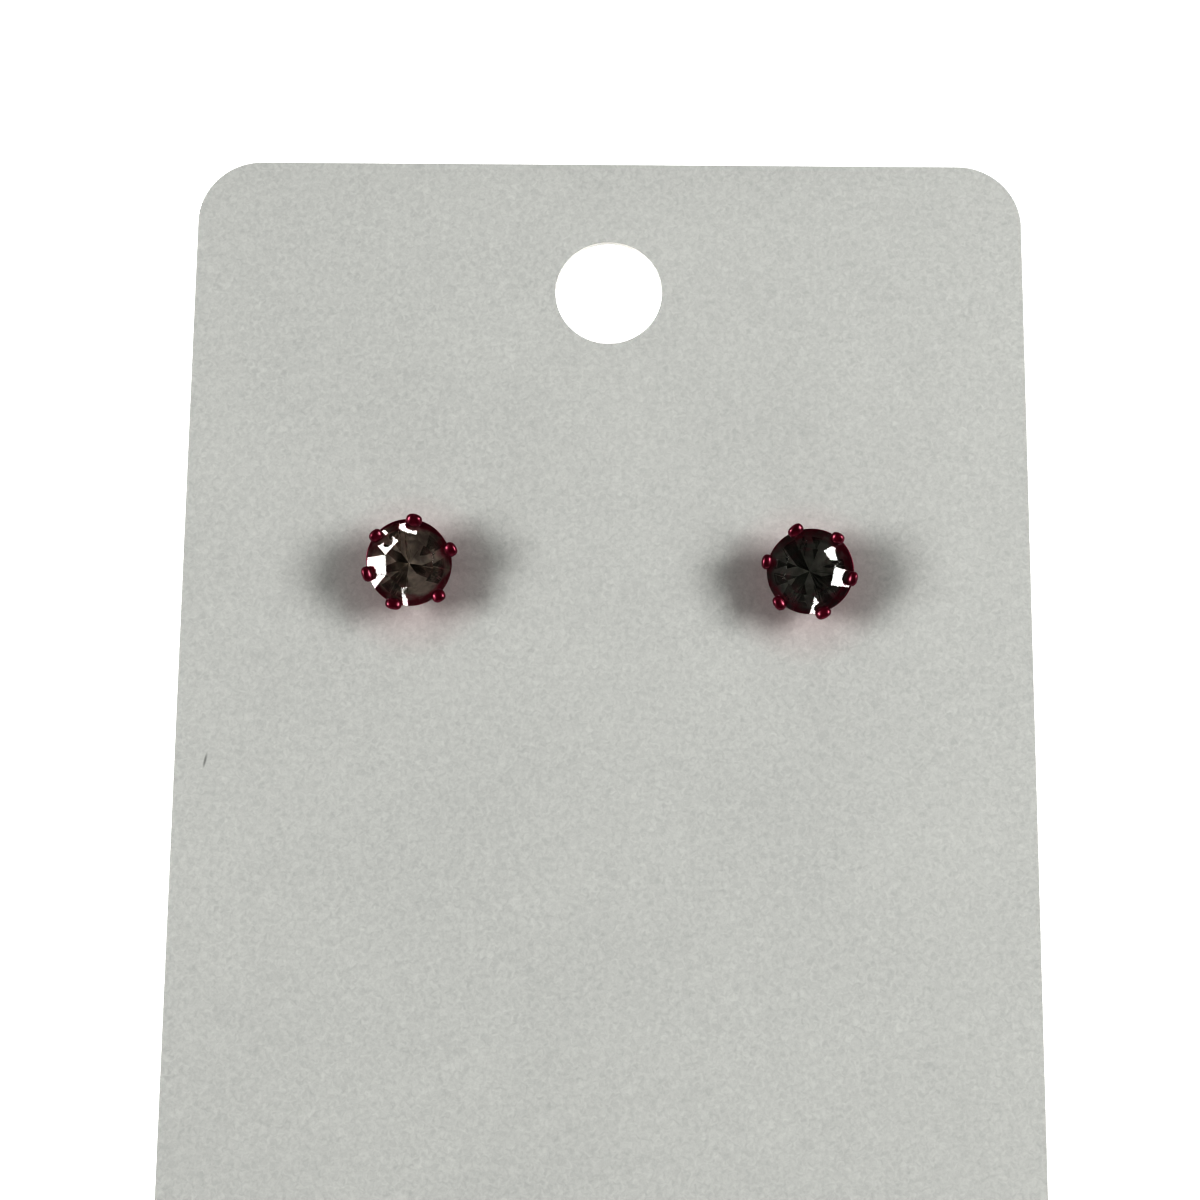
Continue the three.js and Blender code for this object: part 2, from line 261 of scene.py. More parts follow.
def add_node(tree, kind, values=(), links=(), **settings):
    """Adds a node with its settings, its plain input values and its links from other outputs."""
    made = tree.nodes.new(kind)
    for key, value in settings.items():
        setattr(made, key, value)
    for key, value in dict(values).items():
        made.inputs[key].default_value = value
    for key, output in dict(links).items():
        tree.links.new(output, made.inputs[key])
    return made


def finish_material(tree, shader):
    """Makes the shader what the material shows."""
    add_node(tree, "ShaderNodeOutputMaterial", links={"Surface": shader.outputs[0]})


def cells_per_metre(size_mm):
    """Noise scale whose blotches are that size."""
    return 1 / (size_mm * MM)


# Materials

def painted_bounce_near_studs(tree, place):
    """How strongly the card is painted with pink light bounced off the nearest stud's setting: full under it,
    none farther off.
    """
    away = [add_node(tree, "ShaderNodeVectorMath", {1: placed([0, 0, GIRDLE_TOP_Z], STUD[side])},
                     {0: place.outputs["Object"]}, operation="DISTANCE").outputs["Value"] for side in STUD]
    nearest = add_node(tree, "ShaderNodeMath", links={0: away[0], 1: away[1]}, operation="MINIMUM")
    painted_bounce = add_node(tree, "ShaderNodeMapRange", {
        "From Min": PAINTED_BOUNCE_FULL * MM,
        "From Max": PAINTED_BOUNCE_END * MM,
        "To Min": 0.22,
        "To Max": 0.0,
    }, {"Value": nearest.outputs["Value"]})
    return painted_bounce.outputs["Result"]


def on_dark_fibre(tree, place):
    """How dark the card is on its one dark fibre, an ellipse whose edge fades out."""
    fibre_axes = Matrix(CARD[:3, :3]) @ Matrix.Rotation(math.radians(MARK_TURN), 3, "Z")
    local = add_node(tree, "ShaderNodeMapping", {
        "Location": placed([MARK_X, MARK_Y, 0], CARD),
        "Rotation": fibre_axes.to_euler(),
        "Scale": (MARK_WIDTH / 2 * MM, MARK_LENGTH / 2 * MM, 1.0),
    }, {"Vector": place.outputs["Object"]}, vector_type="TEXTURE")
    off = add_node(tree, "ShaderNodeVectorMath", links={0: local.outputs["Vector"]}, operation="LENGTH")
    stain = add_node(tree, "ShaderNodeMapRange",
                     {"From Min": 0.3, "From Max": 1.0, "To Min": 0.6, "To Max": 0.0},
                     {"Value": off.outputs["Value"]})
    return stain.outputs["Result"]


def in_white_core(tree, place):
    """1 between the card's two grey faces, where its cut edge shows its core, and 0 on the faces."""
    local = add_node(tree, "ShaderNodeMapping", {
        "Location": placed([0, 0, 0], CARD),
        "Rotation": Matrix(CARD[:3, :3]).to_euler(),
        "Scale": (MM, MM, MM),
    }, {"Vector": place.outputs["Object"]}, vector_type="TEXTURE")
    height = add_node(tree, "ShaderNodeSeparateXYZ", links={"Vector": local.outputs["Vector"]})
    core = add_node(tree, "ShaderNodeMath", {1: -CARD_THICKNESS / 2, 2: CARD_THICKNESS / 2 - GREY_DEPTH},
                    {0: height.outputs["Z"]}, operation="COMPARE")
    return core.outputs["Value"]


def uncoated_card():
    """Uncoated pulp board: a dead matt warm grey whose felted fibres give a faint mottle. Near the
    crimson settings it carries painted pink light, standing in for light bounced off them. It has one
    dark fibre near its left edge, and is whiter where it is cut, between its grey faces."""
    material, tree = new_material("uncoated_card")
    place = add_node(tree, "ShaderNodeTexCoord")
    fibre = add_node(tree, "ShaderNodeTexNoise", {
        "Scale": cells_per_metre(FIBRE_CLUMPS),
        "Detail": 4.0,
        "Roughness": 0.7,
        "Distortion": 0.8,
    }, {"Vector": place.outputs["Object"]})
    cloud = add_node(tree, "ShaderNodeTexNoise", {"Scale": cells_per_metre(BOARD_CLOUDS), "Detail": 3.0},
                     {"Vector": place.outputs["Object"]})
    mottle = add_node(tree, "ShaderNodeMix", {"Factor": 0.13},
                      {"A": fibre.outputs["Fac"], "B": cloud.outputs["Fac"]}, data_type="FLOAT")
    tone = add_node(tree, "ShaderNodeValToRGB", links={"Fac": mottle.outputs["Result"]})
    low, high = tone.color_ramp.elements
    low.position, low.color = 0.3, linear("#afb0ae")
    high.position, high.color = 0.7, linear("#c1c2bf")
    # Painted light: pink near each stud stands in for red light bounced off the lacquered setting.
    painted_pink_bounce = add_node(tree, "ShaderNodeMix", {"B": linear("#b89a9c")},
                    {"Factor": painted_bounce_near_studs(tree, place), "A": tone.outputs["Color"]}, data_type="RGBA")
    marked = add_node(tree, "ShaderNodeMix", {"B": linear("#6b6c69")},
                      {"Factor": on_dark_fibre(tree, place), "A": painted_pink_bounce.outputs["Result"]}, data_type="RGBA")
    layers = add_node(tree, "ShaderNodeMix", {"B": linear("#edece8")},
                      {"Factor": in_white_core(tree, place), "A": marked.outputs["Result"]}, data_type="RGBA")
    bump = add_node(tree, "ShaderNodeBump", {"Strength": 0.3, "Distance": 0.03 * MM},
                    {"Height": fibre.outputs["Fac"]})
    shader = add_node(tree, "ShaderNodeBsdfPrincipled", {"Roughness": 0.92, "Specular IOR Level": 0.25},
                      {"Base Color": layers.outputs["Result"], "Normal": bump.outputs["Normal"]})
    finish_material(tree, shader)
    return material


def crimson_lacquer():
    """Clear crimson lacquer over bright metal: nearly black in the shade and pink in the lights."""
    material, tree = new_material("crimson_lacquer")
    place = add_node(tree, "ShaderNodeTexCoord")
    pooling = add_node(tree, "ShaderNodeTexNoise", {"Scale": cells_per_metre(LACQUER_POOLS), "Detail": 3.0},
                       {"Vector": place.outputs["Object"]})
    tone = add_node(tree, "ShaderNodeValToRGB", links={"Fac": pooling.outputs["Fac"]})
    low, high = tone.color_ramp.elements
    low.position, low.color = 0.3, linear("#5a1029")
    high.position, high.color = 0.7, linear("#7c1c3f")
    bump = add_node(tree, "ShaderNodeBump", {"Strength": 0.6, "Distance": 0.02 * MM},
                    {"Height": pooling.outputs["Fac"]})
    shader = add_node(tree, "ShaderNodeBsdfPrincipled",
                      {"Metallic": 0.45, "Roughness": 0.3, "Coat Weight": 0.6, "Coat Roughness": 0.25},
                      {"Base Color": tone.outputs["Color"], "Normal": bump.outputs["Normal"]})
    finish_material(tree, shader)
    return material


def cut_glass():
    """Polished lead glass: clear, with hard bright mirror flashes off single facets."""
    material, tree = new_material("cut_glass")
    place = add_node(tree, "ShaderNodeTexCoord")
    haze = add_node(tree, "ShaderNodeTexNoise", {"Scale": cells_per_metre(GLASS_HAZE), "Detail": 4.0},
                    {"Vector": place.outputs["Object"]})
    polish = add_node(tree, "ShaderNodeMapRange", {"To Min": 0.0, "To Max": 0.03},
                      {"Value": haze.outputs["Fac"]})
    swell = add_node(tree, "ShaderNodeTexNoise", {"Scale": cells_per_metre(GLASS_SWELLS), "Detail": 0.0},
                     {"Vector": place.outputs["Object"]})
    bump = add_node(tree, "ShaderNodeBump", {"Strength": 1.0, "Distance": 0.035 * MM},
                    {"Height": swell.outputs["Fac"]})
    shader = add_node(tree, "ShaderNodeBsdfPrincipled",
                      {"Base Color": linear("#f6f2ee"), "Transmission Weight": 1.0, "IOR": 1.7},
                      {"Roughness": polish.outputs["Result"], "Normal": bump.outputs["Normal"]})
    finish_material(tree, shader)
    return material


def foil_scuffs(tree, stone, side):
    """How scuffed the foil is: rays that run out from the axis, uneven from facet to facet."""
    around = add_node(tree, "ShaderNodeVectorMath", links={0: stone.outputs["Vector"]},
                      operation="NORMALIZE")
    rays = add_node(tree, "ShaderNodeTexNoise", {"Scale": RAYS_ROUND, "Detail": 2.0, "Roughness": 0.6},
                    {"Vector": around.outputs["Vector"]})
    facet = add_node(tree, "ShaderNodeAttribute", attribute_name="facet_shade")
    uneven = add_node(tree, "ShaderNodeMix", {"Factor": 0.45},
                      {"A": rays.outputs["Fac"], "B": facet.outputs["Fac"]}, data_type="FLOAT")
    scuffs = add_node(tree, "ShaderNodeMapRange",
                      {"From Min": 0.51, "From Max": 0.62, "To Max": FOIL_SCUFFS[side]},
                      {"Value": uneven.outputs["Result"]})
    return scuffs.outputs["Result"]


def foil_tarnish_and_painted_reflection(tree, place, out, side):
    """Tarnished silver, with patches of painted red reflection of the lacquered setting near the girdle."""
    patch = add_node(tree, "ShaderNodeTexNoise", {"Scale": cells_per_metre(FOIL_REFLECTION_PATCHES), "Detail": 2.0},
                     {"Vector": place.outputs["Object"]})
    painted_reflection_patches = add_node(tree, "ShaderNodeMath", links={0: out, 1: patch.outputs["Fac"]}, operation="MULTIPLY")
    shows = add_node(tree, "ShaderNodeMapRange", {"From Min": 0.28, "From Max": 0.5},
                     {"Value": painted_reflection_patches.outputs["Value"]})
    tarnish = add_node(tree, "ShaderNodeTexNoise", {"Scale": cells_per_metre(FOIL_TARNISH), "Detail": 5.0},
                       {"Vector": place.outputs["Object"]})
    tone = add_node(tree, "ShaderNodeValToRGB", links={"Fac": tarnish.outputs["Fac"]})
    low, high = tone.color_ramp.elements
    low.position, high.position = 0.35, 0.65
    low.color, high.color = map(linear, FOIL_TONES[side])
    # Painted reflection: crimson patches near the girdle stand in for the lacquered setting reflected in the
    # foil.
    painted_red_reflection = add_node(tree, "ShaderNodeMix", {"B": linear("#a83a5c")},
                    {"Factor": shows.outputs["Result"], "A": tone.outputs["Color"]}, data_type="RGBA")
    return painted_red_reflection.outputs["Result"]


def mirror_foil(side):
    """Silvered foil on the stone's back, seen through the glass as dark facets crossed by grey rays,
    where it is scuffed. It is duller near the girdle than near the axis, with painted red reflection there."""
    material, tree = new_material(f"{side}_mirror_foil")
    place = add_node(tree, "ShaderNodeTexCoord")
    stone = add_node(tree, "ShaderNodeAttribute", attribute_name="from_axis")
    length = add_node(tree, "ShaderNodeVectorMath", links={0: stone.outputs["Vector"]}, operation="LENGTH")
    out = length.outputs["Value"]
    dull = add_node(tree, "ShaderNodeMath", {1: 0.55}, {0: out, 2: foil_scuffs(tree, stone, side)},
                    operation="MULTIPLY_ADD")
    rough = add_node(tree, "ShaderNodeMapRange", {"To Min": 0.05, "To Max": 0.6},
                     {"Value": dull.outputs["Value"]})
    metallic = add_node(tree, "ShaderNodeMapRange", {"To Min": 1.0, "To Max": 0.2},
                        {"Value": dull.outputs["Value"]})
    shader = add_node(tree, "ShaderNodeBsdfPrincipled",
                      links={"Base Color": foil_tarnish_and_painted_reflection(tree, place, out, side),
                             "Metallic": metallic.outputs["Result"], "Roughness": rough.outputs["Result"]})
    finish_material(tree, shader)
    return material


def rolled_steel():
    """Bright rolled steel strip: a soft mirror with fine lines along its length."""
    material, tree = new_material("rolled_steel")
    place = add_node(tree, "ShaderNodeTexCoord")
    stretch = add_node(tree, "ShaderNodeMapping", {"Scale": (1.0, ROLLED_SLIMNESS, ROLLED_SLIMNESS)},
                       {"Vector": place.outputs["Object"]})
    lines = add_node(tree, "ShaderNodeTexNoise", {"Scale": cells_per_metre(ROLLED_LINES), "Detail": 4.0},
                     {"Vector": stretch.outputs["Vector"]})
    tone = add_node(tree, "ShaderNodeValToRGB", links={"Fac": lines.outputs["Fac"]})
    low, high = tone.color_ramp.elements
    low.color, high.color = linear("#a09e99"), linear("#c6c4bf")
    rough = add_node(tree, "ShaderNodeMapRange", {"To Min": 0.18, "To Max": 0.34},
                     {"Value": lines.outputs["Fac"]})
    shader = add_node(tree, "ShaderNodeBsdfPrincipled", {"Metallic": 1.0},
                      {"Base Color": tone.outputs["Color"], "Roughness": rough.outputs["Result"]})
    finish_material(tree, shader)
    return material


def pale_floor():
    """Matt white studio board, lit evenly from below as a light table is."""
    material, tree = new_material("pale_floor")
    place = add_node(tree, "ShaderNodeTexCoord")
    cloud = add_node(tree, "ShaderNodeTexNoise", {"Scale": cells_per_metre(FLOOR_CLOUDS)},
                     {"Vector": place.outputs["Object"]})
    tone = add_node(tree, "ShaderNodeValToRGB", links={"Fac": cloud.outputs["Fac"]})
    low, high = tone.color_ramp.elements
    low.color, high.color = linear("#f4f4f4"), linear("#f9f9f9")
    shader = add_node(tree, "ShaderNodeBsdfPrincipled",
                      {"Roughness": 1.0, "Specular IOR Level": 0.0, "Emission Strength": 0.45},
                      {"Base Color": tone.outputs["Color"], "Emission Color": tone.outputs["Color"]})
    finish_material(tree, shader)
    return material


# Card

def arc(x, y, radius, start, end, steps):
    """Points and outward normals round an arc, its angles in degrees."""
    angle = np.radians(np.linspace(start, end, steps))
    normals = np.stack([np.cos(angle), np.sin(angle)], axis=1)
    return np.array([x, y]) + radius * normals, normals


def round_hole(x, y, radius, steps):
    """A hole's edge, run clockwise, with normals that point into the hole."""
    points, normals = arc(x, y, radius, 360, 0, steps + 1)
    return points[:-1], -normals[:-1]


def card_edge():
    """The card's edge, run anticlockwise: four quarter circles joined by straight sides."""
    half, r = CARD_WIDTH / 2 - CARD_CORNER_RADIUS, CARD_CORNER_RADIUS
    low, high = -CARD_LENGTH + r, -r
    places = [(half, low, -90), (half, high, 0), (-half, high, 90), (-half, low, 180)]
    arcs = [arc(x, y, r, start, start + 90, 25) for x, y, start in places]
    return np.concatenate([a[0] for a in arcs]), np.concatenate([a[1] for a in arcs])


def post_hole(side):
    """Centre and radius of a stud's hole: where its axis crosses the middle of the card's thickness,
    and wide enough for the slanted post."""
    stud = STUD[side]
    local = CARD[:3, :3].T @ (stud[:3, 3] - CARD[:3, 3]) / MM
    axis = CARD[:3, :3].T @ stud[:3, 2]
    x, y, _ = local - axis * (local[2] + CARD_THICKNESS / 2) / axis[2]
    slant = math.hypot(axis[0], axis[1]) / axis[2]
    return x, y, POST_RADIUS / axis[2] + CARD_THICKNESS / 2 * slant + POST_HOLE_CLEARANCE


def card_rim(points, normals):
    """The cut edge: each profile step (inset, depth) carried round the loop along its normals. The
    die rounds the front corner of the edge more than the back one."""
    quarter = np.radians(np.linspace(0, 90, 7))
    front = np.stack([1 - np.sin(quarter), 1 - np.cos(quarter)], axis=1) * DIE_CUT_ROUND
    back = np.stack([1 - np.cos(quarter), np.sin(quarter)], axis=1) * BACK_ROUND
    back[:, 1] += CARD_THICKNESS - BACK_ROUND
    profile = np.concatenate([front, back])
    flat = points[None] - normals[None] * profile[:, :1, None]
    depth = np.broadcast_to(-profile[:, 1:, None], (*flat.shape[:2], 1))
    return np.concatenate([flat, depth], axis=-1)


def make_card(material):
    """Front and back faces filled between the loops of the outline and the holes, and joined by
    the cut edges."""
    holes = [round_hole(0, -HANG_HOLE_BELOW_TOP, HANG_HOLE_RADIUS, 128)]
    holes += [round_hole(*post_hole(side), 48) for side in STUD]
    rims = [card_rim(*loop) for loop in [card_edge(), *holes]]
    shells = [(rim.reshape(-1, 3), grid_faces(*rim.shape[:2])) for rim in rims]
    for level in (0, -1):
        loops = [rim[level] for rim in rims]
        fill = tessellate_polygon([[Vector(p) for p in loop] for loop in loops])
        shells.append((np.concatenate(loops), np.array(fill)))
    shells = [(placed(points, CARD), faces) for points, faces in shells]
    return make_piece("card", shells, [material], "earring_card", 50)


# Stone

def ring(radius, angles, z):
    """Points (radius cos a, radius sin a, z), one for each angle a."""
    level = np.broadcast_to(z, angles.shape)
    return np.stack([radius * np.cos(angles), radius * np.sin(angles), level], axis=1)


def plane_heights(a, b, c, girdle):
    """Heights at the girdle's points of the planes through the corners a, b and c, one plane a row."""
    normal = np.cross(b - a, c - a)
    drop = np.einsum("fi,gfi->fg", normal[:, :2], girdle[:, None, :2] - a[None, :, :2])
    return a[:, 2:] - drop / normal[:, 2:]


def crown_corners(k, step, girdle):
    """The table's corners k, one for each step of turn, and the heights of the girdle's upper edge:
    at each point, that of the lowest plane of a long facet at a table side or of a pointed one at a
    table corner."""
    table = ring(TABLE_RADIUS, step * (k + 0.5), TABLE_Z)
    start = ring(STONE_RADIUS, step * (k - 0.25), GIRDLE_TOP_Z)
    end = ring(STONE_RADIUS, step * (k + 0.25), GIRDLE_TOP_Z)
    long_facets = plane_heights(start, end, table, girdle)
    pointed = plane_heights(table, end, np.roll(start, -1, axis=0), girdle)
    return table, np.minimum(long_facets.min(axis=0), pointed.min(axis=0))


def back_corners(k, step, girdle):
    """The kites' wide corners k, one for each step of turn, and the heights of the girdle's lower
    edge: at each point, that of the highest plane of the two small facets between kites."""
    slope = PAVILION_DEPTH / STONE_RADIUS
    break_z = CULET_Z + slope * PAVILION_BREAK_RADIUS * math.cos(step / 2)
    widest = ring(PAVILION_BREAK_RADIUS, step * (k + 0.75), break_z)
    tips = ring(STONE_RADIUS, step * (k + 0.25), GIRDLE_BOTTOM_Z)
    middles = ring(STONE_RADIUS, step * (k + 0.75), GIRDLE_BOTTOM_Z)
    first = plane_heights(widest, middles, tips, girdle)
    second = plane_heights(widest, np.roll(tips, -1, axis=0), middles, girdle)
    return widest, np.maximum(first.max(axis=0), second.max(axis=0))


def stone_faces(k, count):
    """Rows of corners for the glass and for the foil. The points are the table's corners, the
    girdle's upper and lower edges, the kites' wide corners and the culet, in that order."""
    upper = STONE_SIDES
    lower = upper + count
    breaks = lower + count
    culet = breaks + STONE_SIDES
    before = (k - 1) % STONE_SIDES
    run = np.arange(FACET_POINTS + 1)
    at = 2 * FACET_POINTS * k[:, None] + run
    long_faces = np.column_stack([before, upper + at % count, k])
    pointed_faces = np.column_stack([k, upper + (at + FACET_POINTS) % count])
    here = np.arange(count)
    after = (here + 1) % count
    girdle_faces = np.column_stack([upper + here, lower + here, lower + after, upper + after])
    tip_at = FACET_POINTS * (2 * k + 1)
    kites = np.column_stack([np.full_like(k, culet), breaks + k, lower + tip_at % count, breaks + before])
    back = tip_at[:, None] + run[::-1]
    small_faces = np.concatenate([
        np.column_stack([breaks + k, lower + back % count]),
        np.column_stack([breaks + k, lower + (back + FACET_POINTS) % count]),
    ])
    return [k[None], long_faces, pointed_faces, girdle_faces], [kites, small_faces]


def stone_cut():
    """A round cut stone: its points, its faces, and 1 for each face that is foiled. Each facet is
    flat: the crown has a long facet at each table side and a pointed one at each table corner, and
    the back has long kites and two small facets to each. The height where a facet meets the round
    girdle is its plane's height there, which gives the girdle its scalloped edges."""
    step = 2 * math.pi / STONE_SIDES
    count = 2 * STONE_SIDES * FACET_POINTS
    angle = np.arange(count) * 2 * math.pi / count - step / 4
    k = np.arange(STONE_SIDES)
    girdle = ring(STONE_RADIUS, angle, 0)
    table, crown_z = crown_corners(k, step, girdle)
    widest, back_z = back_corners(k, step, girdle)
    edges = [ring(STONE_RADIUS, angle, z) for z in (crown_z, back_z)]
    points = np.concatenate([table, *edges, widest, [[0, 0, CULET_Z]]])
    glass, foil = stone_faces(k, count)
    faces = [row for part in glass + foil for row in part.tolist()]
    marks = [0] * sum(len(part) for part in glass) + [1] * sum(len(part) for part in foil)
    return points, faces, marks


def make_stone(side, glass, foil):
    """The cut stone with the softly worn edges of moulded glass. For its foil, each point keeps its
    place off the axis in stone radii, and each facet a random shade."""
    points, faces, marks = stone_cut()
    points = placed(turned(points, STONE_SPINS[side]), STUD[side])
    stone = make_piece(f"{side}_cut_stone", [(points, faces)], [glass, foil],
                       f"{side}_stone", 2, face_materials=marks)
    local = (vertices_of(stone) - STUD[side][:3, 3]) @ STUD[side][:3, :3]
    off_axis = local * [1, 1, 0] / (STONE_RADIUS * MM)
    from_axis = stone.data.attributes.new("from_axis", "FLOAT_VECTOR", "POINT")
    from_axis.data.foreach_set("vector", off_axis.ravel())
    shade = np.random.default_rng(FACET_SEEDS[side]).uniform(size=len(faces))
    facet_shade = stone.data.attributes.new("facet_shade", "FLOAT", "FACE")
    facet_shade.data.foreach_set("value", shade)
    worn = stone.modifiers.new("worn_edges", "BEVEL")
    worn.width, worn.segments = STONE_EDGE_WEAR * MM, 2
    worn.limit_method, worn.angle_limit = "ANGLE", math.radians(9)
    return stone


# Setting

def rounded_profile(corners):
    """A profile from rows of (radius, z, rounding): each corner becomes a curve that starts and
    ends at its rounding's distance along the two sides."""
    rows = np.array(corners, float)
    at, rounding = rows[:, :2], rows[:, 2]
    to_before = np.roll(at, 1, axis=0) - at
    to_after = np.roll(at, -1, axis=0) - at
    unit = [v / np.maximum(np.linalg.norm(v, axis=1), 1e-9)[:, None] for v in (to_before, to_after)]
    start, end = at + unit[0] * rounding[:, None], at + unit[1] * rounding[:, None]
    t = np.linspace(0, 1, 5)[None, :, None]
    curve = (1 - t) ** 2 * start[:, None] + 2 * t * (1 - t) * at[:, None] + t ** 2 * end[:, None]
    curve[0], curve[-1] = at[0], at[-1]
    return curve.reshape(-1, 2)


def lathe(profile, steps=96):
    """The profile (radius, z) turned once round the z axis."""
    angle = np.arange(steps) * 2 * math.pi / steps
    radius, z = profile[:, :1], np.broadcast_to(profile[:, 1:], (len(profile), steps))
    points = np.stack([radius * np.cos(angle), radius * np.sin(angle), z], axis=-1)
    return points.reshape(-1, 3), grid_faces(len(profile), steps)


def cup_wall_radius(z):
    """Outer radius of the flared cup at a height, straight from its back to its rim."""
    return CUP_BACK_RADIUS + (RIM_RADIUS - CUP_BACK_RADIUS) * z / RIM_Z


def cup_and_post():
    """Post with a round end and a shallow notch for the nut, a small solder fillet, and the flared
    cup with its rolled rim."""
    end = -POST_LENGTH
    notch = end + NOTCH_FROM_END
    slim = POST_RADIUS - NOTCH_DEPTH
    return lathe(rounded_profile([
        (0, end, 0),
        (POST_RADIUS, end, POST_END_ROUND),
        (POST_RADIUS, notch, EDGE_ROUND),
        (slim, notch + NOTCH_DEPTH, EDGE_ROUND),
        (slim, notch + NOTCH_LENGTH, EDGE_ROUND),
        (POST_RADIUS, notch + NOTCH_LENGTH + NOTCH_DEPTH, EDGE_ROUND),
        (POST_RADIUS, -SOLDER_DEPTH, SOLDER_FILLET),
        (CUP_BACK_RADIUS, 0, CUP_BACK_ROUND),
        (RIM_RADIUS, RIM_Z - RIM_BAND, EDGE_ROUND),
        (RIM_RADIUS, RIM_Z, EDGE_ROUND),
        (RIM_RADIUS - CUP_WALL, RIM_Z, EDGE_ROUND),
        (cup_wall_radius(CUP_FLOOR) - CUP_WALL, CUP_FLOOR, CUP_FLOOR_ROUND),
        (0, CUP_FLOOR, 0),
    ]))


def oblong_section(steps, squareness):
    """A rounded oblong 1 wide and 1 thick: half the cosine and sine raised to a power under one."""
    angle = np.arange(steps) * 2 * math.pi / steps
    circle = np.stack([np.cos(angle), np.sin(angle)])
    return 0.5 * np.sign(circle) * np.abs(circle) ** squareness


def carried(path, width, thickness, steps=24, squareness=0.6):
    """An oblong section carried along a path of (x, z) points: its width lies along y, and its
    thickness across the path. Both may change along it, and the ends close to a point."""
    along = np.gradient(path, axis=0)
    along /= np.linalg.norm(along, axis=1)[:, None]
    across = np.stack([-along[:, 1], along[:, 0]], axis=1)
    wide, thick = oblong_section(steps, squareness)
    y = np.asarray(width)[:, None] * wide
    off = np.asarray(thickness)[:, None] * thick
    points = np.stack([path[:, :1] + across[:, :1] * off, y, path[:, 1:] + across[:, 1:] * off], axis=-1)
    return points.reshape(-1, 3), grid_faces(len(path), steps)


def closed_ends(share, taper):
    """Factor that narrows a section to nothing at both ends of its path: the square root of the
    distance to the nearer end, in tapers."""
    return np.clip(np.minimum(share, 1 - share) / taper, 0, 1) ** 0.5


def smooth_path(corners, steps):
    """Catmull-Rom curve through the corners: on each span, half of the cubic in f whose factors are
    made from the four nearest corners a, b, c and d."""
    p = np.asarray(corners, float)
    p = np.concatenate([2 * p[:1] - p[1:2], p, 2 * p[-1:] - p[-2:-1]])
    t = np.linspace(0, len(p) - 3 - 1e-9, steps)
    i = t.astype(int)
    f = (t - i)[:, None]
    a, b, c, d = p[i], p[i + 1], p[i + 2], p[i + 3]
    square = 2 * a - 5 * b + 4 * c - d
    cube = 3 * b - a - 3 * c + d
    return 0.5 * (2 * b + (c - a) * f + square * f ** 2 + cube * f ** 3)


def prong_leg():
    """A flat wire that leaves the cup's wall, climbs outside the girdle and bends in under the knob."""
    lift = PRONG_THICKNESS / 2
    girdle_side = STONE_RADIUS + STONE_CLEARANCE / 2 + lift
    root, free, below_rim = PRONG_START_HEIGHT, PRONG_FREE_HEIGHT, RIM_Z - PRONG_BELOW_RIM
    path = smooth_path([
        (cup_wall_radius(root) - PRONG_ROOT, root),
        (cup_wall_radius(free) + 0.4 * lift, free),
        (cup_wall_radius(below_rim) + 0.8 * lift, below_rim),
        (girdle_side, GIRDLE_BOTTOM_Z),
        (girdle_side - PRONG_BENT_IN, GIRDLE_TOP_Z + PRONG_ABOVE_GIRDLE),
    ], 28)
    t = np.linspace(0, 1, len(path))
    close = closed_ends(t, 0.06)
    return carried(path, PRONG_WIDTH * close * (1 + PRONG_FLARE * t), PRONG_THICKNESS * close)


def prong_knob(width, length, height, twist):
    """A bead pressed down over the stone. Cosines and sines of two angles raised to powers just
    under one make it a little fuller than an ellipsoid, and its top slopes down towards the stone."""
    rows, columns = 21, 36
    rise = np.radians(np.linspace(-90, 90, rows))[:, None]
    turn = np.radians(np.arange(columns) * 360 / columns)[None]

    def fuller(v):
        return np.sign(v) * np.abs(v) ** KNOB_FULLNESS

    x = KNOB_LENGTH * length / 2 * fuller(np.cos(rise)) * fuller(np.cos(turn))
    y = KNOB_WIDTH * width / 2 * fuller(np.cos(rise)) * fuller(np.sin(turn))
    z = KNOB_HEIGHT * height / 2 * fuller(np.sin(rise)) * np.ones_like(turn)
    z = z + KNOB_SLOPE * x * (z > 0)
    bead = turned(np.stack([x, y, z], axis=-1).reshape(-1, 3), twist)
    middle = STONE_RADIUS - KNOB_OVERLAP + KNOB_LENGTH / 2
    return bead + [middle, 0, GIRDLE_TOP_Z + STONE_CLEARANCE + KNOB_HEIGHT / 3], grid_faces(rows, columns)


def bent_off(points, side):
    """The cup leaned over from its back upwards, so that its rim shows past the stone on one side."""
    degrees, distance = RIM_SHIFTS[side]
    share = np.clip(points[:, 2:] / RIM_Z, 0, 1) * distance
    angle = math.radians(degrees)
    return points + share * [math.cos(angle), math.sin(angle), 0]


def make_setting(side, lacquer):
    """Cup and post in one shell, with a leg and a knob for each prong."""
    cup, cup_faces = cup_and_post()
    shells = [(bent_off(cup, side), cup_faces)]
    for angle, shape in zip(PRONG_ANGLES[side], KNOB_SHAPES[side]):
        shells += [(turned(points, angle), faces) for points, faces in (prong_leg(), prong_knob(*shape))]
    shells = [(placed(points, STUD[side]), faces) for points, faces in shells]
    return make_piece(f"{side}_lacquered_setting", shells, [lacquer],
                      f"{side}_setting", 40)


# Ear nut

def wing_line():
    """The strip's middle line in (x, z): flat along the plate, half a turn round the outer roll and
    half a turn back up round the inner one, to its free end beside the post."""
    plate_z = -STRIP_THICKNESS / 2
    turn = np.radians(np.linspace(0, 180, 25))
    outer_z = plate_z - OUTER_ROLL
    outer = np.stack([PLATE_HALF + OUTER_ROLL * np.sin(turn), outer_z + OUTER_ROLL * np.cos(turn)], axis=1)
    inner_x = POST_RADIUS + NUT_POST_CLEARANCE + INNER_ROLL + STRIP_THICKNESS / 2
    inner_z = outer_z - OUTER_ROLL + INNER_ROLL
    inner = np.stack([inner_x - INNER_ROLL * np.sin(turn), inner_z - INNER_ROLL * np.cos(turn)], axis=1)
    plate = np.stack([np.linspace(0, PLATE_HALF, 7)[:-1], np.full(6, plate_z)], axis=1)
    return np.concatenate([plate, outer, inner])


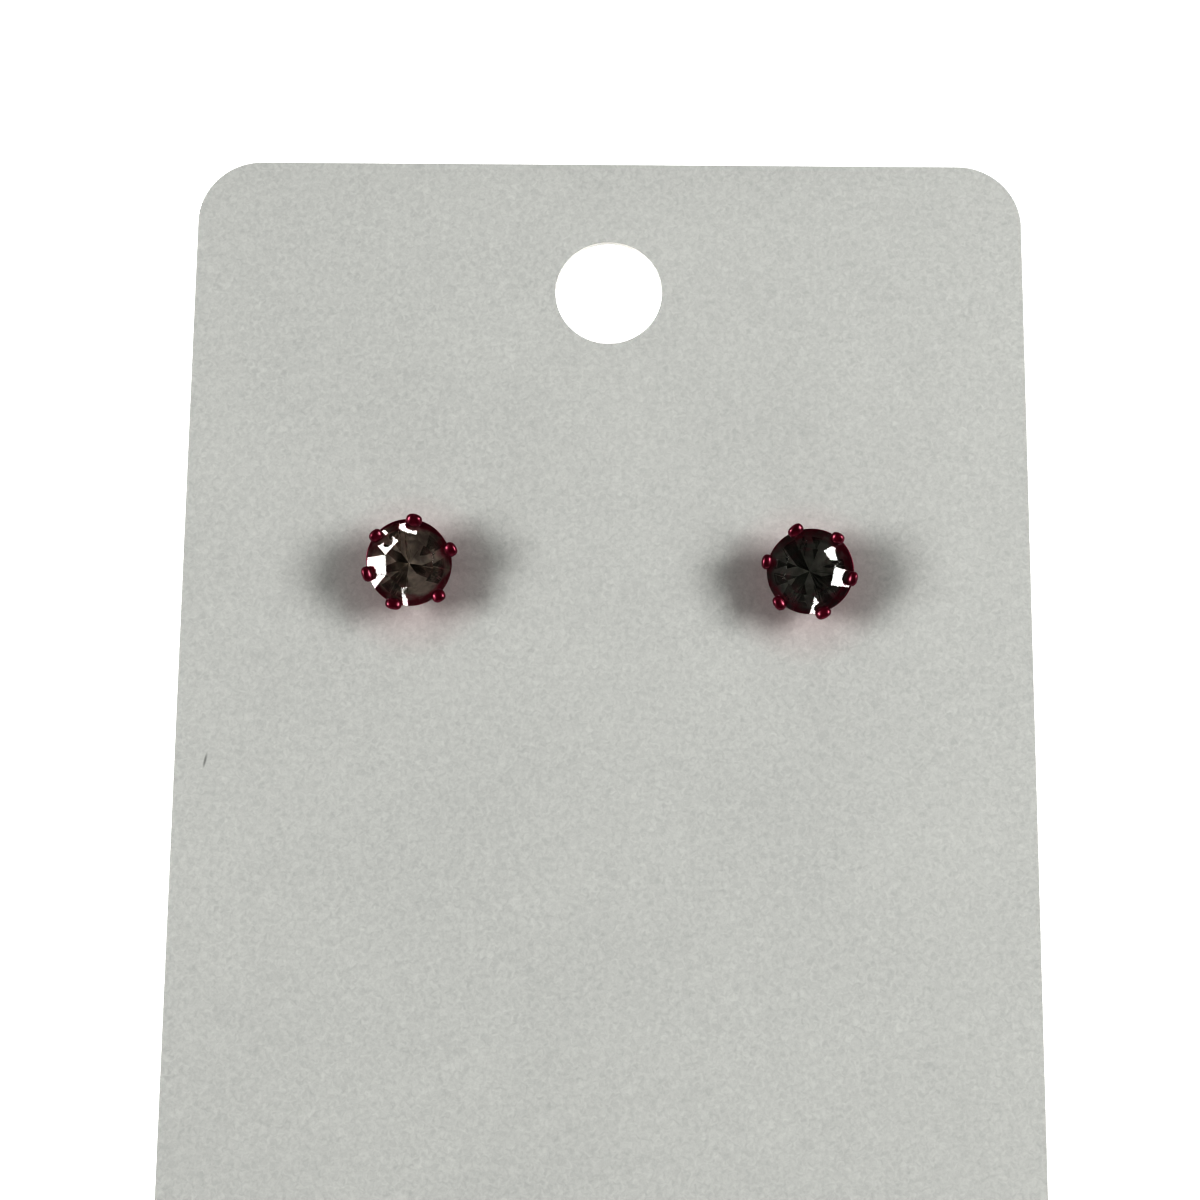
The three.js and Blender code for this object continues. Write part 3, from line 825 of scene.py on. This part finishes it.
def pressed_collar():
    """A ring round the post that stands out of both faces of the nut's plate."""
    bore = POST_RADIUS + COLLAR_GAP
    back = -STRIP_THICKNESS
    return lathe(rounded_profile([
        (bore, COLLAR_FRONT, 0),
        (bore + COLLAR_FRONT_WALL, COLLAR_FRONT, COLLAR_ROUND),
        (bore + COLLAR_FOOT, -COLLAR_SUNK_FRONT, EDGE_ROUND),
        (bore + COLLAR_FOOT, back + COLLAR_SUNK_BACK, EDGE_ROUND),
        (bore + COLLAR_BACK_WALL, back - COLLAR_BACK, COLLAR_ROUND),
        (bore, back - COLLAR_BACK, 0),
        (bore, COLLAR_FRONT, 0),
    ]), 48)


def bent_strip():
    """A strip carried from one wing's free end over the plate to the other's. Its width dips by a
    bell curve of the length beside each wing."""
    line = wing_line()
    path = np.concatenate([line[:0:-1] * [-1, 1], line])
    distance = np.concatenate([[0], np.cumsum(np.linalg.norm(np.diff(path, axis=0), axis=1))])
    share = distance / distance[-1]
    close = closed_ends(share, 0.008)
    from_waist = (np.abs(share - 0.5) - WAIST_PLACE) / WAIST_SPREAD
    waist = 1 - WAIST_NARROWING * np.exp(-from_waist ** 2)
    return carried(path, STRIP_WIDTH * close * waist, STRIP_THICKNESS * close, 32, 0.25)


def seat_heights(axis):
    """How far in front of the card's middle a leaning cup's back lies along the stud's axis, and how
    far behind it the nut's front: each seat clears the card's face at its lowest edge."""
    cosine = axis[2]
    sine = math.sqrt(1 - cosine ** 2)
    reach = math.hypot(PLATE_HALF + STRIP_THICKNESS, STRIP_WIDTH / 2)
    cup = (CARD_THICKNESS / 2 + SEAT_GAP + CUP_BACK_RADIUS * sine) / cosine
    nut = (CARD_THICKNESS / 2 + SEAT_GAP + reach * sine) / cosine
    return cup, nut


def make_nut(side, steel):
    """The bent strip and its collar, pushed up the post to the back of the card."""
    in_front, behind = seat_heights(CARD[:3, :3].T @ STUD[side][:3, 2])
    lift = np.array([0, 0, -behind - in_front])
    parts = [bent_strip(), pressed_collar()]
    shells = [(placed(points + lift, STUD[side]), faces) for points, faces in parts]
    return make_piece(f"{side}_steel_nut", shells, [steel], f"{side}_ear_nut", 40)


# Studio

VIEW_LENS_MM = 72.0
VIEW_TILTS = (-11.61, -0.30, -0.45)  # degrees about the card's x, y and z axes
VIEW_SHIFT = (0.6, 26.6, -146.58)  # millimetres from the camera to the card's top edge
STUDS_BELOW_TOP = 25.3
FLOOR_HALF_METRES = 1.5


def make_camera():
    """A camera that looks down on the card as the photograph does: the card seen from the camera is
    turned by the tilts and then moved by the shift."""
    rx, ry, rz = [math.radians(a) for a in VIEW_TILTS]
    turn = Matrix.Rotation(rz, 4, "Z") @ Matrix.Rotation(ry, 4, "Y") @ Matrix.Rotation(rx, 4, "X")
    card_in_view = Matrix.Translation(Vector(VIEW_SHIFT) * MM) @ turn
    data = bpy.data.cameras.new("camera")
    data.sensor_width, data.lens = 36.0, VIEW_LENS_MM
    data.clip_start, data.clip_end = 0.005, 20.0
    camera = bpy.data.objects.new("camera", data)
    camera.matrix_world = Matrix(CARD.tolist()) @ card_in_view.inverted()
    bpy.context.scene.collection.objects.link(camera)
    bpy.context.scene.camera = camera


def make_floor(material):
    """A flat square board under the part."""
    half = FLOOR_HALF_METRES
    points = np.array([[-half, -half, 0], [half, -half, 0], [half, half, 0], [-half, half, 0]])
    mesh = bpy.data.meshes.new("floor")
    mesh.from_pydata(points.tolist(), [], [[0, 1, 2, 3]])
    mesh.materials.append(material)
    floor = bpy.data.objects.new("floor", mesh)
    bpy.context.scene.collection.objects.link(floor)


# name, degrees round from +x of the card, degrees above it, width and height in degrees, metres off
SOFTBOXES = [
    ("left_box", 184, 41, 25, 22, 0.42),
    ("left_side_lamp", 213, 22, 5, 5, 0.42),
    ("left_head_lamp", 145, 43, 7, 6, 0.42),
    ("right_box", 5, 42, 27, 22, 0.34),
    ("right_low_lamp", -19, 29, 5, 5, 0.42),
    ("right_head_lamp", 28, 40, 5, 5, 0.42),
    ("head_lamp", 90, 45.0, 3.5, 3.5, 0.42),
    ("left_foot_lamp", 272, 17, 4, 4, 0.42),
    ("right_foot_lamp", 280, 11, 4, 4, 0.42),
]
BOX_RADIANCE = 9.8  # watts per square metre and steradian


def make_lights():
    """Soft boxes of one brightness that face the middle between the two studs."""
    target = placed([0, -STUDS_BELOW_TOP, 0], CARD)
    for name, around, above, width, height, distance in SOFTBOXES:
        a, e = math.radians(around), math.radians(above)
        way = CARD[:3, :3] @ np.array([math.cos(a) * math.cos(e), math.sin(a) * math.cos(e), math.sin(e)])
        data = bpy.data.lights.new(name, "AREA")
        data.shape = "RECTANGLE"
        data.size = 2 * distance * math.tan(math.radians(width / 2))
        data.size_y = 2 * distance * math.tan(math.radians(height / 2))
        data.energy = BOX_RADIANCE * math.pi * data.size * data.size_y
        light = bpy.data.objects.new(name, data)
        light.location = Vector(target + way * distance)
        light.rotation_euler = Vector(way).to_track_quat("Z", "Y").to_euler()
        bpy.context.scene.collection.objects.link(light)


def make_room():
    """A dim room round the soft boxes, paler near the floor than overhead, and the strong contrast
    of the photograph."""
    world = bpy.data.worlds.new("room")
    world.use_nodes = True
    tree = world.node_tree
    tree.nodes.clear()
    way = add_node(tree, "ShaderNodeTexCoord")
    height = add_node(tree, "ShaderNodeSeparateXYZ", links={"Vector": way.outputs["Generated"]})
    tone = add_node(tree, "ShaderNodeValToRGB", links={"Fac": height.outputs["Z"]})
    low, high = tone.color_ramp.elements
    low.position, low.color = 0.0, linear("#777472")
    high.position, high.color = 0.97, linear("#1c1a18")
    tone.color_ramp.elements.new(0.65).color = linear("#363432")
    light = add_node(tree, "ShaderNodeBackground", {"Strength": 1.0}, {"Color": tone.outputs["Color"]})
    add_node(tree, "ShaderNodeOutputWorld", links={"Surface": light.outputs["Background"]})
    bpy.context.scene.world = world
    view = bpy.context.scene.view_settings
    view.view_transform, view.look, view.gamma = "Standard", "Very High Contrast", 0.83


STUD = {side: stud_axes(side) for side in STONE_SPINS}

make_camera()
make_floor(pale_floor())
make_lights()
make_room()
make_card(uncoated_card())
GLASS, LACQUER, STEEL = cut_glass(), crimson_lacquer(), rolled_steel()
for side in STUD:
    make_setting(side, LACQUER)
    make_stone(side, GLASS, mirror_foil(side))
    make_nut(side, STEEL)
